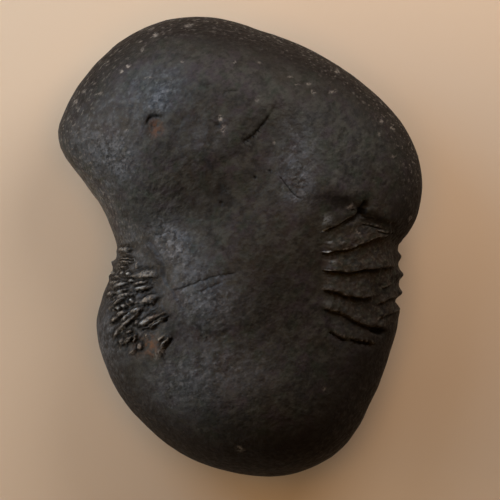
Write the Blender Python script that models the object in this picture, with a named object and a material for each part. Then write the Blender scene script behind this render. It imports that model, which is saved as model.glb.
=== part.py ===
"""Ammonite nodule: a river-worn stone of two lobes, with the ribbed edge of the ammonite
that is sealed in it showing in a worn window at each waist.

Run with: blender --background --python part.py
The stone lies on its worn flat side.  +X is right, +Y is the broad upper lobe's end, +Z is up.
Lengths in the tables below are millimetres; the mesh is in metres.
"""
import bpy
import bmesh
import numpy as np
from mathutils import Vector, noise

# ---- driving dimensions -----------------------------------------------------------------

NAME = "ammonite_nodule"
METRES = 0.001              # one millimetre

RIM_HEIGHT = 22.0           # height of the widest line round the stone
RIM_RISE = 1.6              # how far that line rises above and dips below that height
RIM_HIGH_SIDE = 50          # the side where it is highest, in degrees from +X
CROWN = 24.0                # stone above the rim, before its hills and hollows
CROWN_ROLL = 24.0           # how far in from the outline the top still rounds over
KEEL = 22.9                 # stone below the rim; what is under zero is worn flat
KEEL_ROLL = 34.0
ROLL_POWER = 2.3            # 2 is a quarter circle, more is a squarer shoulder
RIM_BAND = 0.7              # nearer the rim than this, depth is taken straight from the outline

GRID = 26                   # squares along each side of the starting cube
MOST_TRIANGLES = 9700       # the fine mesh is thinned to this where it is nearly flat
RIB_REACH = 5.0             # ribs keep their height this far below the rim
RIB_FADE = 9.0              # and die out over this much more
UNEVEN = 0.35               # slow unevenness of the worn surface
UNEVEN_SIZE = 17.0          # distance from lump to lump

STONE_COLOUR = (0.034, 0.029, 0.026, 1.0)
STONE_ROUGHNESS = 0.45

# The outline seen from above: (degrees from +X, distance from the origin).
OUTLINE = (
    (0, 41.2), (5, 44.2), (10, 46.8), (20, 50.3), (32, 52.5), (48, 53.2), (65, 53.9), (82, 56.0),
    (98, 60.2), (110, 62.0), (122, 61.6), (134, 59.4), (143, 57.5), (148, 55.9), (152, 52.3),
    (157, 44.3), (163, 37.8), (172, 33.6), (182, 32.0), (192, 34.4), (200, 38.2), (208, 42.2),
    (222, 46.9), (240, 52.1), (256, 56.2), (270, 59.0), (284, 60.6), (297, 58.6), (311, 52.4),
    (324, 47.8), (335, 45.2), (342, 42.9), (350, 42.0),
)

# Hills (+) and hollows (-) of the top: centre x, y, half length, half width, turn, height.
HILLS = {
    "north-west knoll": (-16.9, 38.1, 12.0, 9.0, 30, 2.0),
    "west crest": (-31.1, 22.6, 13.0, 8.0, -60, 1.6),
    "upper valley": (-10.4, 17.4, 11.0, 8.0, 60, -2.2),
    "middle valley": (2.6, 22.6, 17.0, 8.0, 85, -2.0),
    "east shoulder": (25.4, 18.7, 19.0, 12.0, 88, 2.8),
    "boss": (-4.7, -6.5, 17.0, 12.0, -75, 3.0),
    "fold": (-16.1, 9.1, 12.0, 4.0, 16, -1.7),
    "foot of the boss": (-7.0, -23.4, 8.0, 3.2, 5, -0.8),
    "south dome": (-3.9, -37.6, 20.0, 14.0, 10, 2.4),
    "east fall": (29.1, -9.9, 18.0, 19.0, 0, -4.0),
    "seam": (-21.3, -5.4, 9.0, 1.7, -70, -0.6),
    "rusty pit": (-21.5, 30.0, 1.9, 1.7, 0, -1.3),
}
# The two windows are sunk a little, with a steeper edge than a hill has.
WINDOWS = {
    "east window": (33.0, -5.2, 18.0, 12.5, 88, -1.1),
    "west window": (-26.4, -16.0, 13.2, 7.2, 74, -1.2),
}
WINDOW_POWER = 7.0
HOLLOWS_BELOW = {
    "belly": (8.0, 26.0, 22.0, 17.0, 20, -0.7),
    "waist below": (-30.0, -6.0, 14.0, 12.0, 80, -1.6),
    "heel": (12.0, -34.0, 20.0, 15.0, -20, -0.5),
}

# Ribs: (height, width of the gentle upper side, width of the steep lower side, crest line).
# The first of the east ribs is the brow of the upper lobe, which overhangs the window.
EAST_RIBS = (
    (1.5, 4.5, 0.9, ((19.5, 8.8), (23.0, 12.6), (27.2, 14.0), (31.0, 11.2), (34.3, 7.6), (41.5, 2.0))),
    (1.4, 2.2, 0.6, ((19.2, 4.0), (23.6, 6.2), (26.7, 8.3), (30.6, 10.4))),
    (1.4, 3.0, 0.6, ((19.0, -0.9), (27.2, 0.1), (30.6, 1.6), (34.0, 2.9), (40.0, 4.6))),
    (1.6, 3.2, 0.7, ((19.0, -5.4), (29.1, -5.7), (36.3, -4.8), (44.0, -2.6))),
    (1.5, 3.2, 0.7, ((19.0, -10.4), (23.6, -10.6), (30.6, -11.8), (37.9, -9.4), (44.0, -7.3))),
    (1.2, 1.8, 0.7, ((32.6, -13.4), (37.0, -12.5), (44.0, -11.5))),
    (1.6, 3.0, 0.7, ((19.2, -15.2), (23.4, -15.7), (30.1, -18.2), (35.0, -18.2), (42.0, -15.2))),
    (0.9, 1.4, 0.6, ((25.5, -19.6), (29.8, -21.0), (33.5, -21.8))),
    (1.4, 2.4, 0.6, ((21.4, -20.3), (25.4, -22.3), (29.1, -23.4), (35.6, -24.1))),
)
WEST_RIBS = (
    (1.0, 0.9, 0.7, ((-36.0, -1.4), (-31.0, -1.6), (-27.6, -1.7))),
    (1.0, 0.9, 0.7, ((-36.0, -3.9), (-31.0, -4.3), (-27.4, -4.2))),
    (1.0, 1.3, 0.5, ((-36.0, -7.4), (-29.6, -7.6), (-26.2, -7.6), (-20.4, -8.0))),
    (1.3, 0.9, 0.6, ((-33.6, -10.6), (-31.7, -9.9), (-28.4, -9.0))),
    (1.3, 0.9, 0.6, ((-33.8, -12.9), (-31.7, -12.1), (-29.3, -10.8), (-27.6, -10.2))),
    (1.3, 0.9, 0.6, ((-33.4, -16.2), (-31.7, -14.9), (-29.6, -13.6), (-27.3, -12.7))),
    (1.3, 1.0, 0.6, ((-31.4, -16.6), (-29.3, -15.6), (-27.5, -14.6), (-23.9, -13.8), (-20.8, -13.2))),
    (1.3, 0.9, 0.6, ((-33.2, -19.7), (-31.3, -18.4), (-29.8, -17.2), (-27.4, -15.8))),
    (1.4, 1.0, 0.6, ((-31.8, -22.7), (-29.8, -20.5), (-27.5, -18.6), (-25.7, -17.1), (-24.0, -15.0))),
    (1.2, 1.0, 0.6, ((-30.6, -25.6), (-27.0, -22.3))),
    (1.0, 0.9, 0.6, ((-28.6, -27.8), (-25.4, -25.0))),
    (1.2, 0.9, 0.6, ((-28.0, -9.8), (-24.7, -9.3), (-22.2, -9.9))),
    (1.1, 0.9, 0.6, ((-27.6, -12.4), (-23.8, -10.3))),
    (1.5, 1.3, 0.6, ((-25.0, -21.6), (-22.1, -20.1), (-17.8, -17.0))),
    (1.4, 1.3, 0.6, ((-22.4, -28.6), (-20.2, -25.3), (-17.2, -21.6))),
)
RIB_POWER = 1.7             # 2 is a round crest, less is a sharper one
RIB_TAPER = 1.0             # length over which a rib's crest runs out at its end
RIB_SPREAD = 0.6            # its flanks run out this much sooner for each millimetre aside
RIB_WANDER = 0.3            # how far a crest strays from its line
RIB_WANDER_SIZE = 3.5
SLOT = (34.5, -21.6, 3.4, 1.0, -8, -1.6)        # the deep slot under the fifth rib

# Boxes (x from, x to, y from, y to) that get the finer mesh.
EAST_BOX = (18.0, 46.0, -26.0, 15.0)
WEST_BOX = (-38.0, -16.0, -29.5, 1.0)
TIP_BOX = (-48.0, -38.0, 14.0, 42.0)


# ---- the worn stone's form --------------------------------------------------------------

def outline_radius(angle):
    """Distance of the outline from the origin, smooth through the points of OUTLINE."""
    points = np.array(OUTLINE, dtype=float)
    turn = np.array((360.0, 0.0))
    knots = np.vstack((points[-2:] - turn, points, points[:3] + turn))
    at, radius = knots[:, 0], knots[:, 1]
    slope = np.gradient(radius, at)
    slope[1:-1] = (radius[2:] - radius[:-2]) / (at[2:] - at[:-2])
    angle = np.mod(angle, 360.0)
    i = np.searchsorted(at, angle, side="right") - 1
    span = at[i + 1] - at[i]
    t = (angle - at[i]) / span
    start = (2 * t**3 - 3 * t**2 + 1) * radius[i] + (t**3 - 2 * t**2 + t) * span * slope[i]
    end = (3 * t**2 - 2 * t**3) * radius[i + 1] + (t**3 - t**2) * span * slope[i + 1]
    return start + end


def edge_depth(x, y, samples=1440, batch=4000):
    """How far a point lies inside the outline, eased so that the depth has no creases.

    Each short piece of the outline pushes with the inverse fourth power of its distance,
    which beside a straight edge adds up to the plain distance.
    """
    angle = np.linspace(0.0, 360.0, samples, endpoint=False)
    radius = outline_radius(angle)
    rim = np.stack((radius * np.cos(np.radians(angle)), radius * np.sin(np.radians(angle))))
    piece = np.linalg.norm(np.roll(rim, -1, axis=1) - rim, axis=0)
    push = np.empty(len(x))
    for first in range(0, len(x), batch):
        last = first + batch
        across = (x[first:last, None] - rim[0])**2 + (y[first:last, None] - rim[1])**2
        push[first:last] = (piece / (across + 1e-6)**2).sum(axis=1)
    return (2 / np.pi * push)**(-1 / 3)


def roll_over(share):
    """Height of a worn shoulder, 0 at the rim to 1 where the top levels out."""
    return np.sqrt(1 - (1 - np.clip(share, 0, 1))**ROLL_POWER)


def mound(x, y, shape, power=2.0):
    """A smooth hill, or a hollow if its height is negative."""
    cx, cy, length, width, turn, height = shape
    c, s = np.cos(np.radians(turn)), np.sin(np.radians(turn))
    along = ((x - cx) * c + (y - cy) * s) / length
    across = ((y - cy) * c - (x - cx) * s) / width
    return height * np.exp(-(along**2 + across**2)**(power / 2))


def ease(share):
    """Smooth step from 0 to 1."""
    share = np.clip(share, 0, 1)
    return share * share * (3 - 2 * share)


def stone_points(directions):
    """Places a unit sphere's points on the worn stone, without its ribs."""
    u, v, w = directions.T
    reach = np.hypot(u, v)
    angle = np.degrees(np.arctan2(v, u))
    radius = outline_radius(angle)
    x = reach * radius * np.cos(np.radians(angle))
    y = reach * radius * np.sin(np.radians(angle))

    slope = (outline_radius(angle + 0.5) - outline_radius(angle - 0.5)) / np.radians(1.0)
    at_rim = (1 - reach) * radius / np.hypot(1, slope / radius)
    inside = ease((at_rim - RIM_BAND) / RIM_BAND)
    depth = at_rim + inside * (edge_depth(x, y) - at_rim)
    over = roll_over(depth / CROWN_ROLL)
    under = roll_over(depth / KEEL_ROLL)

    crown = sum((mound(x, y, hill) for hill in HILLS.values()), CROWN)
    crown = crown + sum(mound(x, y, window, WINDOW_POWER) for window in WINDOWS.values())
    keel = sum((mound(x, y, hollow) for hollow in HOLLOWS_BELOW.values()), KEEL)
    rim = RIM_HEIGHT + RIM_RISE * np.cos(np.radians(angle - RIM_HIGH_SIDE)) * (1 - over)
    z = rim + np.where(w >= 0, crown * over, -keel * under)
    return np.stack((x, y, z), axis=1)


# ---- the ribs ---------------------------------------------------------------------------

def beside(x, y, path):
    """Signed distance from a crest line (positive on its left) and distance to its nearer end."""
    nearest = np.full(len(x), np.inf)
    side = np.zeros(len(x))
    along = np.zeros(len(x))
    done = 0.0
    for (ax, ay), (bx, by) in zip(path, path[1:]):
        length = np.hypot(bx - ax, by - ay)
        ux, uy = (bx - ax) / length, (by - ay) / length
        t = np.clip((x - ax) * ux + (y - ay) * uy, 0, length)
        distance = np.hypot(x - ax - t * ux, y - ay - t * uy)
        left = np.sign(ux * (y - ay) - uy * (x - ax))
        closer = distance < nearest
        nearest = np.where(closer, distance, nearest)
        side = np.where(closer, left * distance, side)
        along = np.where(closer, done + t, along)
        done += length
    return side, np.minimum(along, done - along)


def curve_through(points, steps=4):
    """A finer line that curves smoothly through the points, ends included."""
    points = np.array(points, dtype=float)
    slope = np.gradient(points, axis=0)
    line = [points[0]]
    for a, b, out_of, into in zip(points, points[1:], slope, slope[1:]):
        for t in np.linspace(0, 1, steps + 1)[1:]:
            from_a = (2 * t**3 - 3 * t**2 + 1) * a + (t**3 - 2 * t**2 + t) * out_of
            from_b = (3 * t**2 - 2 * t**3) * b + (t**3 - t**2) * into
            line.append(from_a + from_b)
    return line


def rib_relief(points):
    """How far the ribs stand out of the worn stone at each point."""
    x, y, z = points.T
    stray = np.array([noise.noise_vector(Vector(point) / RIB_WANDER_SIZE) for point in points])
    x = x + RIB_WANDER * stray[:, 0]
    y = y + RIB_WANDER * stray[:, 1]
    relief = np.zeros(len(x))
    for height, gentle, steep, crest in EAST_RIBS + WEST_RIBS:
        side, end = beside(x, y, curve_through(crest))
        width = np.where(side > 0, gentle, steep)
        taper = ease(end / (RIB_TAPER + RIB_SPREAD * np.abs(side)))
        rib = height * taper * np.exp(-(np.abs(side) / width)**RIB_POWER)
        relief = np.maximum(relief, rib)
    relief = relief + mound(x, y, SLOT)
    return relief * (1 - ease((RIM_HEIGHT - RIB_REACH - z) / RIB_FADE))


# ---- the mesh ---------------------------------------------------------------------------

def directions_of(bm):
    """The vertices of the round cube as an array."""
    return np.array([vertex.co for vertex in bm.verts])


def place(bm, points):
    for vertex, point in zip(bm.verts, points):
        vertex.co = point


def round_cube(grid):
    """A cube with an even grid on each side, blown up to a unit sphere."""
    bm = bmesh.new()
    bmesh.ops.create_cube(bm, size=2.0)
    bmesh.ops.subdivide_edges(bm, edges=bm.edges[:], cuts=grid - 1, use_grid_fill=True)
    even = np.tan(directions_of(bm) * np.pi / 4)
    place(bm, even / np.linalg.norm(even, axis=1, keepdims=True))
    return bm


def refine(bm, box, cuts=1, across_ribs=False):
    """Splits the edges inside a box, all of them or only those that cross the ribs."""
    bm.verts.index_update()
    points = stone_points(directions_of(bm))
    x_from, x_to, y_from, y_to = box
    lowest = RIM_HEIGHT - RIB_REACH - RIB_FADE
    inside = ((points[:, 0] > x_from) & (points[:, 0] < x_to)
              & (points[:, 1] > y_from) & (points[:, 1] < y_to) & (points[:, 2] > lowest))
    chosen = []
    for edge in bm.edges:
        a, b = (vertex.index for vertex in edge.verts)
        run = np.abs(points[a] - points[b])
        crosses = run[1] > np.hypot(run[0], run[2])
        if inside[a] and inside[b] and (crosses or not across_ribs):
            chosen.append(edge)
    bmesh.ops.subdivide_edges(bm, edges=chosen, cuts=cuts, use_grid_fill=True)
    for vertex in bm.verts:
        vertex.co.normalize()


def push_out(bm, distances):
    """Moves each vertex along its normal."""
    bm.normal_update()
    for vertex, distance in zip(bm.verts, distances):
        vertex.co += vertex.normal * distance


def wear_flat(bm):
    """Cuts the underside flat at the ground and closes it with one face."""
    bmesh.ops.bisect_plane(bm, geom=bm.verts[:] + bm.edges[:] + bm.faces[:], dist=1e-5,
                           plane_co=(0, 0, 0), plane_no=(0, 0, -1), clear_outer=True)
    rim = [edge for edge in bm.edges if edge.is_boundary]
    bmesh.ops.contextual_create(bm, geom=rim)


def centre_on_ground(bm):
    """Puts the middle of the stone's box over the origin."""
    points = directions_of(bm)
    middle = (points.min(axis=0) + points.max(axis=0)) / 2
    bmesh.ops.translate(bm, verts=bm.verts[:], vec=(-middle[0], -middle[1], 0))


def thin_out(bm, triangles):
    """Collapses the least needed edges, those of the nearly flat stretches."""
    bmesh.ops.triangulate(bm, faces=bm.faces[:])
    mesh = bpy.data.meshes.new("fine_stone")
    bm.to_mesh(mesh)
    stone = bpy.data.objects.new("fine_stone", mesh)
    bpy.context.scene.collection.objects.link(stone)
    collapse = stone.modifiers.new("thin out", "DECIMATE")
    collapse.ratio = triangles / len(mesh.polygons)
    bpy.context.view_layer.update()
    thinned = stone.evaluated_get(bpy.context.evaluated_depsgraph_get())
    bm.clear()
    bm.from_mesh(thinned.data)
    bpy.data.objects.remove(stone, do_unlink=True)
    bpy.data.meshes.remove(mesh)


def build_nodule():
    bm = round_cube(GRID)
    for box in (EAST_BOX, WEST_BOX):
        refine(bm, box)
        refine(bm, box, across_ribs=True)
    refine(bm, TIP_BOX)

    place(bm, stone_points(directions_of(bm)))
    push_out(bm, [UNEVEN * noise.noise(vertex.co / UNEVEN_SIZE) for vertex in bm.verts])
    push_out(bm, rib_relief(directions_of(bm)))
    thin_out(bm, MOST_TRIANGLES)
    wear_flat(bm)
    centre_on_ground(bm)
    bmesh.ops.scale(bm, verts=bm.verts[:], vec=(METRES, METRES, METRES))
    bm.normal_update()
    return bm


# ---- material, object and collection ----------------------------------------------------

def black_stone():
    material = bpy.data.materials.new("black_stone")
    material.use_nodes = True
    shader = material.node_tree.nodes["Principled BSDF"]
    shader.inputs["Base Color"].default_value = STONE_COLOUR
    shader.inputs["Roughness"].default_value = STONE_ROUGHNESS
    shader.inputs["Metallic"].default_value = 0.0
    material.diffuse_color = STONE_COLOUR
    return material


def main():
    for old in list(bpy.data.objects):
        bpy.data.objects.remove(old, do_unlink=True)
    collection = bpy.data.collections.new(NAME)
    bpy.context.scene.collection.children.link(collection)

    bm = build_nodule()
    mesh = bpy.data.meshes.new(NAME)
    bm.to_mesh(mesh)
    bm.free()
    mesh.materials.append(black_stone())
    mesh.shade_smooth()
    nodule = bpy.data.objects.new(NAME, mesh)
    collection.objects.link(nodule)
    print(NAME, len(mesh.polygons), "faces")


main()
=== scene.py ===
# %% [markdown]
# # A river-worn nodule with an ammonite sealed in it
# The real thing is one dense black stone, shaped like a kidney.  An ammonite lies inside it,
# and only its ribbed edge shows, where the waists of the stone have worn through to it.
# We load the plain solid that fixes the size, then model one finer stone in its place: first
# the outline, then the worn hills and hollows, the ribs, the cracks, and last the finish.

# %% Frame
import math
import bpy
import bmesh
import numpy as np
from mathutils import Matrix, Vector, noise


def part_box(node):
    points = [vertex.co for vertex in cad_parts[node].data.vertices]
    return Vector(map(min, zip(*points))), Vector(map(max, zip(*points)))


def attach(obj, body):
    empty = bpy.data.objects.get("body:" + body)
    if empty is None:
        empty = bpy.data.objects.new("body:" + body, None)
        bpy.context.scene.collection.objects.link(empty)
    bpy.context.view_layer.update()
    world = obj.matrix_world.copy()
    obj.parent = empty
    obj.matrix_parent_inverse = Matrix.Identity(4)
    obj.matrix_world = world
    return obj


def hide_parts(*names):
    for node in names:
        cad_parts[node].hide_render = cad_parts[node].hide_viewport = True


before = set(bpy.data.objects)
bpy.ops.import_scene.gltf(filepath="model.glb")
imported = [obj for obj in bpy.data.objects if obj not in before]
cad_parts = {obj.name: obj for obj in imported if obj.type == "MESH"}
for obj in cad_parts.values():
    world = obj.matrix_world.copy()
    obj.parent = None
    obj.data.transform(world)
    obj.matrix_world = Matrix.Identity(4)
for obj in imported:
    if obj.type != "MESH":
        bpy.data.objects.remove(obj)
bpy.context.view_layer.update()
NODE = "ammonite_nodule"
MM = 0.001

# %% [markdown]
# ## Two helpers
# Colours are easiest to read as the hex codes of a paint program, but Blender mixes light in
# linear numbers, so one function turns hex to linear.  A second one adds a node, sets its
# values and plugs in its inputs, so that a material reads as a list of steps.

# %% Colour and nodes


def linear(code, alpha=1.0):
    """A hex colour as the linear numbers that a shader takes."""
    parts = [int(code[i:i + 2], 16) / 255 for i in (1, 3, 5)]
    return [c / 12.92 if c <= 0.04045 else ((c + 0.055) / 1.055) ** 2.4 for c in parts] + [alpha]


def add(tree, kind, inputs=None, **settings):
    """Adds a node; an input is a value to set or a socket to plug in."""
    made = tree.nodes.new("ShaderNode" + kind)
    for name, value in settings.items():
        setattr(made, name, value)
    for name, value in (inputs or {}).items():
        socket = made.inputs[name]
        if isinstance(value, bpy.types.NodeSocket):
            tree.links.new(value, socket)
        else:
            socket.default_value = value
    return made


print("black stone in linear numbers:", [round(c, 3) for c in linear("#2b2723")])

# %% [markdown]
# ## Camera
# The stone is seen from straight above, so the camera hangs over it and looks down.  A long
# lens from over a metre away keeps the top from spreading over the sides.  The stone lies a
# little left of the picture's middle, so the camera stands that much to the right.

# %% Camera
PICTURE_WIDTH = 129.7 * MM  # what the picture takes in at the height of the rim
EYE_DISTANCE = 1200 * MM  # from the rim up to the lens
RIM_LEVEL = 24 * MM
ASIDE = (2.6 * MM, -0.8 * MM)  # from the stone's middle to the camera's
SENSOR = 36.0  # Blender's default film width, in its own millimetres

lens = bpy.data.cameras.new("overhead")
lens.sensor_width = SENSOR
lens.lens = SENSOR * EYE_DISTANCE / PICTURE_WIDTH
camera = bpy.data.objects.new("overhead", lens)
camera.location = (*ASIDE, RIM_LEVEL + EYE_DISTANCE)
bpy.context.scene.collection.objects.link(camera)
bpy.context.scene.camera = camera
print("lens", round(lens.lens, 1))

# %% [markdown]
# ## Floor and light
# A plain pale floor lies under the stone.  Black satin shows its form by what it mirrors, so
# the light is a row of big soft lamps that stand low around the upper left, as a window and
# the pale walls beside it would.  The window is a little blue and the walls are warm.  A
# weaker lamp on the upper right is a pale shelf, and a warm one overhead is the ceiling.
# Nothing stands on the lower right, so that side of the stone stays dark.

# %% Floor
FLOOR_SIZE = 1.6
FLOOR_COLOUR = "#ddcbb4"
FLOOR_ROUGHNESS = 0.9

bm = bmesh.new()
bmesh.ops.create_grid(bm, x_segments=1, y_segments=1, size=FLOOR_SIZE / 2)
floor_mesh = bpy.data.meshes.new("floor")
bm.to_mesh(floor_mesh)
bm.free()
floor = bpy.data.objects.new("floor", floor_mesh)
bpy.context.scene.collection.objects.link(floor)

pale = bpy.data.materials.new("pale_floor")
pale.use_nodes = True
paint = pale.node_tree.nodes["Principled BSDF"]
paint.inputs["Base Color"].default_value = linear(FLOOR_COLOUR)
paint.inputs["Roughness"].default_value = FLOOR_ROUGHNESS
floor_mesh.materials.append(pale)
print("floor", FLOOR_SIZE, "m wide")

# %% Lamps
LAMPS = (  # name, degrees from +X, degrees above the floor, metres away, size, watts, colour
    ("window_low", 140, 25, 0.32, 0.18, 0.17, "#c8e8ff"),
    ("window_high", 140, 45, 0.32, 0.18, 0.23, "#acd9ff"),
    ("north_wall", 105, 20, 0.50, 0.34, 0.45, "#ffe2cd"),
    ("west_wall", 172, 20, 0.50, 0.34, 1.05, "#ffdab0"),
    ("south_west_wall", 200, 20, 0.50, 0.34, 0.43, "#dcf6ff"),
    ("near_shelf", 60, 40, 0.30, 0.20, 0.46, "#fff4ec"),
    ("ceiling", 0, 90, 0.60, 0.30, 0.62, "#ffb44a"),
)
ROOM_COLOUR = "#d9c9b4"
ROOM_GLOW = 0.01  # the light that comes from everywhere

for name, direction, above, away, size, watts, colour in LAMPS:
    lamp = bpy.data.lights.new(name, "AREA")
    lamp.shape = "DISK"
    lamp.size = size
    lamp.energy = watts
    lamp.color = linear(colour)[:3]
    out, up = math.cos(math.radians(above)), math.sin(math.radians(above))
    side, ahead = math.cos(math.radians(direction)), math.sin(math.radians(direction))
    holder = bpy.data.objects.new(name, lamp)
    holder.location = Vector((out * side, out * ahead, up)) * away
    holder.rotation_euler = (-holder.location).to_track_quat("-Z", "Y").to_euler()
    bpy.context.scene.collection.objects.link(holder)

world = bpy.data.worlds.new("room")
world.use_nodes = True
world.node_tree.nodes["Background"].inputs["Color"].default_value = linear(ROOM_COLOUR)
world.node_tree.nodes["Background"].inputs["Strength"].default_value = ROOM_GLOW
bpy.context.scene.world = world
bpy.context.scene.view_settings.view_transform = "Standard"
print(len(LAMPS), "lamps")

# %% [markdown]
# ## The outline
# From above, the stone is a closed curve with two lobes and a waist on each side.  It could
# be drawn as a curve object, but the stone is built on a sphere, and a sphere's points are
# easily moved to an outline that is given as a distance for each direction.  So a few
# directions are listed, and a cubic runs smoothly through them.

# %% Outline
OUTLINE = (  # degrees from +X, millimetres from the origin
    (0, 41.2), (5, 44.2), (10, 46.8), (20, 50.3), (32, 52.5), (48, 53.2), (65, 53.9), (82, 56.0),
    (98, 60.2), (110, 62.0), (122, 61.6), (134, 59.4), (143, 57.5), (148, 55.9), (152, 52.3),
    (157, 44.3), (163, 37.8), (172, 33.6), (182, 32.0), (192, 34.4), (200, 38.2), (208, 42.2),
    (222, 46.9), (240, 52.1), (256, 56.2), (270, 59.0), (284, 60.6), (297, 58.6), (311, 52.4),
    (324, 47.8), (335, 45.2), (342, 42.9), (350, 42.0),
)


def outline_radius(angle):
    """Distance of the outline from the origin, in a direction given in degrees."""
    points = np.array(OUTLINE, dtype=float)
    turn = np.array((360.0, 0.0))
    knots = np.vstack((points[-2:] - turn, points, points[:3] + turn))
    at, radius = knots[:, 0], knots[:, 1]
    slope = np.gradient(radius, at)
    slope[1:-1] = (radius[2:] - radius[:-2]) / (at[2:] - at[:-2])
    angle = np.mod(angle, 360.0)
    i = np.searchsorted(at, angle, side="right") - 1
    span = at[i + 1] - at[i]
    t = (angle - at[i]) / span
    start = (2 * t**3 - 3 * t**2 + 1) * radius[i] + (t**3 - 2 * t**2 + t) * span * slope[i]
    end = (3 * t**2 - 2 * t**3) * radius[i + 1] + (t**3 - t**2) * span * slope[i + 1]
    return start + end


widest = outline_radius(np.arange(360.0))
print("outline from", round(widest.min(), 1), "to", round(widest.max(), 1), "mm out")

# %% [markdown]
# ## The worn shoulder
# A river rounds a stone by the same amount all along its edge.  So its height depends on how
# far in from the outline a point lies.  The plain distance has a crease along its middle
# line; a push from every piece of the outline, which weakens with the fourth power of the
# distance, gives the same number near an edge and no creases.

# %% Shoulder
ROLL_POWER = 1.95  # 2 is a quarter circle, more is a squarer shoulder
TINY = 1e-6  # keeps a point on the outline from dividing by nothing


def ease(share):
    """Smooth step from 0 to 1."""
    share = np.clip(share, 0, 1)
    return share * share * (3 - 2 * share)


def edge_depth(x, y, samples=1440, batch=4000):
    """How far a point lies inside the outline."""
    angle = np.linspace(0.0, 360.0, samples, endpoint=False)
    radius = outline_radius(angle)
    rim = np.stack((radius * np.cos(np.radians(angle)), radius * np.sin(np.radians(angle))))
    piece = np.linalg.norm(np.roll(rim, -1, axis=1) - rim, axis=0)
    push = np.empty(len(x))
    for first in range(0, len(x), batch):
        last = first + batch
        across = (x[first:last, None] - rim[0])**2 + (y[first:last, None] - rim[1])**2
        push[first:last] = (piece / (across + TINY)**2).sum(axis=1)
    return (2 / np.pi * push)**(-1 / 3)


def roll_over(share):
    """Height of the shoulder, 0 at the rim to 1 where the top levels out."""
    return np.sqrt(1 - (1 - np.clip(share, 0, 1))**ROLL_POWER)


print("shoulder at a tenth of its width:", round(float(roll_over(0.1)), 2))

# %% [markdown]
# ## Hills and hollows
# The top is a soft landscape: two knolls on the left of the broad lobe, valleys beside them,
# a boss at the waist and a dome below.  Each is one smooth mound with a place, a length, a
# width, a turn and a height.  The windows are mounds too, flat-bottomed ones.

# %% Hills and hollows
HILLS = {  # x, y, half length, half width, turn, height (below 0 for a hollow)
    "north-west knoll": (-13.2, 43.2, 16.1, 13.3, 74, 2.8),
    "north edge": (5.4, 44.3, 17.5, 14.1, -22, 2.8),
    "north-east rise": (20.5, 38.6, 12.8, 9.5, 8, 0.6),
    "north-west corner": (-46.7, 31, 13.4, 12.9, -5, -3.6),
    "west crest": (-28, 17.2, 8.4, 10.5, -61, 0.8),
    "middle of the lobe": (-6.1, 25.3, 17.5, 9.9, 59, 2),
    "upper valley": (-11.2, 15.7, 11.5, 5.9, 41, -0.8),
    "east shoulder": (18.7, 13.9, 15.8, 9.8, 68, 2),
    "fold": (-15.6, 6.6, 13, 6, 20, -1.6),
    "west waist": (-20.7, -2.8, 9.8, 8.8, -72, -0.8),
    "boss": (-2.2, -12.1, 22, 10.2, -106, 2.2),
    "face of the boss": (-8.5, -13.5, 9, 8, 20, 0.7),
    "foot of the boss": (-10.7, -23.9, 10.3, 5, 1, -0.8),
    "beside the boss": (10.4, -8.7, 10, 9.1, 83, 0.7),
    "east fall": (36.8, -23.1, 21.4, 24, -13, -4.6),
    "south dome": (-5.8, -54.5, 21.5, 15.8, 2, 4.3),
    "south-west rise": (-14.3, -43.4, 18.1, 9.3, 15, 1.2),
    "south-east rise": (10.5, -38, 8.5, 11.9, -22, 0.9),
    "round the rusty pit": (-21.4, 29.5, 8, 8, -2, 1.2),
    "rusty pit": (-21.3, 30.3, 1.9, 1.7, 0, -1.3),
}
WINDOWS = {
    "east window": (33, -5.2, 18, 12.5, 88, -1.1),
    "west window": (-26.4, -16, 13.2, 7.2, 74, -1.2),
}
WINDOW_POWER = 7.0  # 2 is a round mound, more is a flatter one with steeper sides
HOLLOWS_BELOW = {
    "belly": (8, 26, 22, 17, 20, -0.7),
    "waist below": (-30, -6, 14, 12, 80, -1.6),
    "heel": (12, -34, 20, 15, -20, -0.5),
}


def mound(x, y, shape, power=2.0):
    """A smooth hill, or a hollow if its height is negative."""
    cx, cy, length, width, turn, height = shape
    c, s = math.cos(math.radians(turn)), math.sin(math.radians(turn))
    along = ((x - cx) * c + (y - cy) * s) / length
    across = ((y - cy) * c - (x - cx) * s) / width
    return height * np.exp(-(along**2 + across**2)**(power / 2))


print(len(HILLS), "hills and hollows,", len(WINDOWS), "windows")

# %% [markdown]
# ## From a sphere to the stone
# A point of a unit sphere has a compass direction, a reach outwards and an up or down.  The
# direction and the reach place it inside the outline, and the shoulder and the hills set its
# height over or under the widest line.  A ball of quads keeps the mesh even all round.

# %% Place a sphere's points on the stone
RIM_HEIGHT = 22.0  # of the widest line over the ground
RIM_RISE = 1.6  # how far the widest line rises above and dips below that height
RIM_HIGH_SIDE = 50  # degrees from +X to the side where it is highest
CROWN = 24.0  # height of the plain top over the widest line
CROWN_ROLL = 30.0  # how far in from the outline the top still rounds over
KEEL = 22.9  # depth of the underside below it
KEEL_ROLL = 34.0
RIM_BAND = 0.7  # nearer the rim than this, depth is taken straight from the outline
HALF_STEP = 0.5  # degrees to either side, for the outline's slope


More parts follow.
